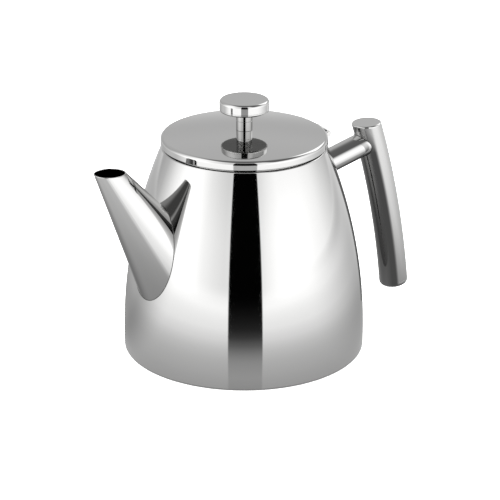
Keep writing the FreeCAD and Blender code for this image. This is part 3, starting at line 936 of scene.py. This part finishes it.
def strut():
    """The rod from the pot to the grip, with a bead of weld at each end."""
    rows = [[] for _ in range(STRUT_STEPS + 1)]
    for turn in ROD_TURNS:
        spoke = STRUT_OVER * cos(turn) + SIDEWAYS * sin(turn)
        line = strut_line(spoke)
        start = crossing(line, 0, 0.5, outside_side)
        end = crossing(line, 0.5, 1, grip_distance)
        for n, row in enumerate(rows):
            row.append((line(start + (end - start) * n / STRUT_STEPS), spoke))
    pot_end, far_end = ([point for point, _ in row] for row in (rows[0], rows[-1]))
    skin = Skin()
    skin.grid(rows)
    skin.disc(pot_end, -STRUT_ALONG)
    skin.disc(far_end, STRUT_ALONG)
    skin.made("strut", "pot", MIRROR, "handle_strut")
    bead("strut_weld_pot", pot_end, STRUT_BEAD, WELD_WITH_PAINTED_SHADE)
    bead("strut_weld_grip", far_end, STRUT_BEAD, WELD_WITH_PAINTED_SHADE)


def mouth_ring():
    """The ring that closes the shell's top, with a ledge for the basket's rim."""
    low, high = (corner.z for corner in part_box("mouth_ring"))
    neck = 47.3 * MM
    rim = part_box("mouth_ring")[1].x
    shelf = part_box("outer_shell")[1].z
    ledge = 46.6 * MM
    ledge_height = 130.5 * MM
    inside = side(low, 6.8 * MM)
    skin = turned_skin([
        (inside, low), (neck, low), (neck, shelf), (rim, shelf), (rim, high, 0.4 * MM),
        (ledge, high, 0.3 * MM), (ledge, ledge_height, 0.2 * MM), (inside, ledge_height, EDGE)])
    skin.made("mouth", "pot", MIRROR, "mouth_ring")


# ---- lid ------------------------------------------------------------------------------------

def dome(radius, inset=0.0):
    """The height of the lid's crown at a radius, less an inset square to it."""
    return CROWN - LID_DOME + sqrt((LID_DOME - inset) ** 2 - radius ** 2)


def lid():
    """The crowned lid, hollow underneath, with a hole for the knob's screw."""
    inner = LID_RADIUS - LID_WALL
    hole = 2 * MM
    skin = turned_skin([
        (inner, LID_BOTTOM, EDGE),
        (LID_RADIUS, LID_BOTTOM, 0.35 * MM),
        (LID_RADIUS, dome(LID_RADIUS), LID_ROUND, LID_DOME),
        (hole, dome(hole)),
        (hole, dome(hole, LID_WALL), 0, -(LID_DOME - LID_WALL)),
        (inner, dome(inner, LID_WALL), LID_ROUND - LID_WALL),
    ])
    skin.made("lid_top", "lid", MIRROR, "lid_cover")


def knob():
    """The flat round knob: a cup turned down over a disc."""
    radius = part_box("knob_cap")[1].x
    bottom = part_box("knob_base")[0].z
    seam, top = (corner.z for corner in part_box("knob_cap"))
    wall = 1.0 * MM
    skin = turned_skin([
        (radius - wall, seam), (radius, seam, 0.1 * MM), (radius, top, 2.0 * MM), (0, top),
        (0, top - wall), (radius - wall, top - wall, 1.0 * MM)], around=128)
    skin.made("knob_top", "lid", MIRROR, "knob_cap")
    skin = turned_skin([
        (0, bottom), (radius, bottom, 1.2 * MM), (radius, seam, 0.1 * MM), (0, seam)],
        around=128)
    skin.made("knob_disc", "lid", MIRROR, "knob_base")


def stem():
    """The knob's neck, bored for its screw, with a fine groove halfway up."""
    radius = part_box("knob_stem")[1].x
    low, high = (corner.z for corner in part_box("knob_stem"))
    hole = 2 * MM
    hole_end = 148.6 * MM
    groove = (low + high) / 2
    groove_half = 0.12 * MM
    groove_depth = 0.1 * MM
    skin = turned_skin([
        (hole, low), (radius, low, EDGE), (radius, groove - groove_half),
        (radius - groove_depth, groove), (radius, groove + groove_half), (radius, high),
        (0, high), (0, hole_end), (hole, hole_end)], around=96)
    skin.made("stem", "lid", MIRROR, "knob_stem")


# ---- infuser basket -------------------------------------------------------------------------

PITCH = 3.2 * MM
ROW_PITCH = PITCH * 0.9
HOLE = 0.95 * MM

# the corners of a hole's cell and of the hole, in half widths of each
CELL = [(-1, -1), (0, -1), (1, -1), (1, 0), (1, 1), (0, 1), (-1, 1), (-1, 0)]
HOLE_CORNERS = [(a / hypot(a, b), b / hypot(a, b)) for a, b in CELL]


def basket_rim():
    """The rim's flange, which rests on the pot's ledge clear of the lid, and its short collar."""
    low, high = (corner.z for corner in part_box("infuser_rim"))
    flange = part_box("infuser_rim")[1].x - 0.15 * MM
    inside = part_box("infuser_wall")[1].x
    collar = inside + 0.6 * MM
    underside = high - 0.7 * MM
    skin = turned_skin([
        (inside, low, EDGE), (collar, low, EDGE), (collar, underside, 0.5 * MM),
        (flange, underside, 0.25 * MM), (flange, high, 0.25 * MM), (inside, high, 1.2 * MM)])
    skin.made("basket_rim", "infuser", BASKET, "infuser_rim")


def basket_hoop():
    """The hoop round the basket's foot, turned in under its floor."""
    low, high = (corner.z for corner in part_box("infuser_base_hoop"))
    floor_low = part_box("infuser_floor")[0].z
    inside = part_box("infuser_wall")[1].x
    ledge = inside - 3.0 * MM
    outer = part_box("infuser_base_hoop")[1].x
    skin = turned_skin([
        (ledge, low, EDGE), (outer, low, 0.4 * MM), (outer, high, EDGE),
        (inside, high), (inside, floor_low), (ledge, floor_low)])
    skin.made("basket_hoop", "infuser", BASKET, "infuser_base_hoop")


def holed_cell(skin, place, u, v, half_u, half_v):
    """One cell of perforated sheet round (u, v), with an eight-sided hole through it.

    place(u, v, depth) gives (point, normal) on the outer face at depth 0, the inner at depth 1.
    """
    bore = []
    for depth in (0, 1):
        edge = [place(u + a * half_u, v + b * half_v, depth) for a, b in CELL]
        hole = [place(u + a * HOLE, v + b * HOLE, depth) for a, b in HOLE_CORNERS]
        middle, _ = place(u, v, depth)
        skin.grid([edge, hole])
        bore.append([(point, (middle - point).normalized()) for point, _ in hole])
    skin.grid(bore)


def round_sheet(radius, wall):
    """The place function of a sheet rolled to a radius: how far round it, height and depth."""
    def place(across, height, depth):
        out = Vector((cos(across / radius), sin(across / radius), 0))
        spot = out * (radius - wall * depth)
        return Vector((spot.x, spot.y, height)), out * (1 - 2 * depth)
    return place


def basket_wall():
    """The perforated side, rows of holes in staggered columns, with a plain band at each end."""
    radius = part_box("infuser_wall")[1].x
    low, high = (corner.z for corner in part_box("infuser_wall"))
    place = round_sheet(radius, 0.5 * MM)
    columns = round(2 * pi * radius / PITCH)
    half_u = pi * radius / columns
    band_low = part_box("infuser_base_hoop")[1].z + 1.0 * MM
    band_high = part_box("infuser_rim")[0].z - 1.5 * MM
    rows = int((band_high - band_low) / ROW_PITCH)
    half_v = (band_high - band_low) / rows / 2
    skin = Skin()
    for row in range(rows):
        height = band_low + half_v * (2 * row + 1)
        for column in range(columns):
            across = half_u * (2 * column + row % 2)
            holed_cell(skin, place, across, height, half_u, half_v)
    around = [half_u * k for k in range(2 * columns)]
    for start, end in ((low, band_low), (band_high, high)):
        for depth in (0, 1):
            skin.grid([[place(across, height, depth) for across in around]
                       for height in (start, end)])
    for height, facing in ((low, -UP), (high, UP)):
        skin.grid([[(place(across, height, depth)[0], facing) for across in around]
                   for depth in (0, 1)])
    skin.made("basket_wall", "infuser", MESH, "infuser_wall")


def round_loop(centre, radius, count):
    """The corners of a flat round loop."""
    return [centre + Vector((cos(2 * pi * k / count), sin(2 * pi * k / count))) * radius
            for k in range(count)]


def floor_loops(radius):
    """The basket floor's edge, then each of its holes, in staggered rows."""
    loops = [round_loop(Vector((0, 0)), radius, 160)]
    reach = radius - 4.5 * MM
    count = int(reach / ROW_PITCH) + 1
    for row in range(-count, count + 1):
        for column in range(-count, count + 1):
            centre = Vector(((column + row % 2 / 2) * PITCH, row * ROW_PITCH))
            if centre.length < reach:
                loops.append(round_loop(centre, HOLE, len(CELL)))
    return loops


def holed_faces(loops):
    """The flat triangles inside the first loop and outside the others, as lists of points."""
    rings = []
    start = 0
    for loop in loops:
        rings.append(list(range(start, start + len(loop))))
        start += len(loop)
    points = [point for loop in loops for point in loop]
    spots, _, faces, _, _, origins = delaunay_2d_cdt(points, [], rings, 1, 1e-7)
    return [[spots[k] for k in corners] for corners, origin in zip(faces, origins)
            if not any(origin)]


def basket_floor():
    """The perforated base, a flat disc with holes through it."""
    low, high = (corner.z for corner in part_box("infuser_floor"))
    loops = floor_loops(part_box("infuser_floor")[1].x)
    skin = Skin()
    for corners in holed_faces(loops):
        for height, facing in ((low, -UP), (high, UP)):
            skin.face([Vector((*spot, height)) for spot in corners], [facing] * len(corners))
    for index, loop in enumerate(loops):
        centre = sum(loop, Vector((0, 0))) / len(loop)
        way = 1 if index == 0 else -1
        spokes = [(point - centre).normalized() * way for point in loop]
        skin.grid([[(Vector((*point, height)), Vector((*spoke, 0)))
                    for point, spoke in zip(loop, spokes)] for height in (low, high)])
    skin.made("basket_floor", "infuser", MESH, "infuser_floor")


# ---- the scene ------------------------------------------------------------------------------

bpy.context.scene.view_settings.view_transform = "Standard"
camera()
studio()
floor()
table()
grip_shade_card()
repaint()
shell()
spout()
grip_tube()
grip_top_cap()
grip_bottom_cap()
strut()
mouth_ring()
lid()
knob()
stem()
basket_rim()
basket_hoop()
basket_wall()
basket_floor()
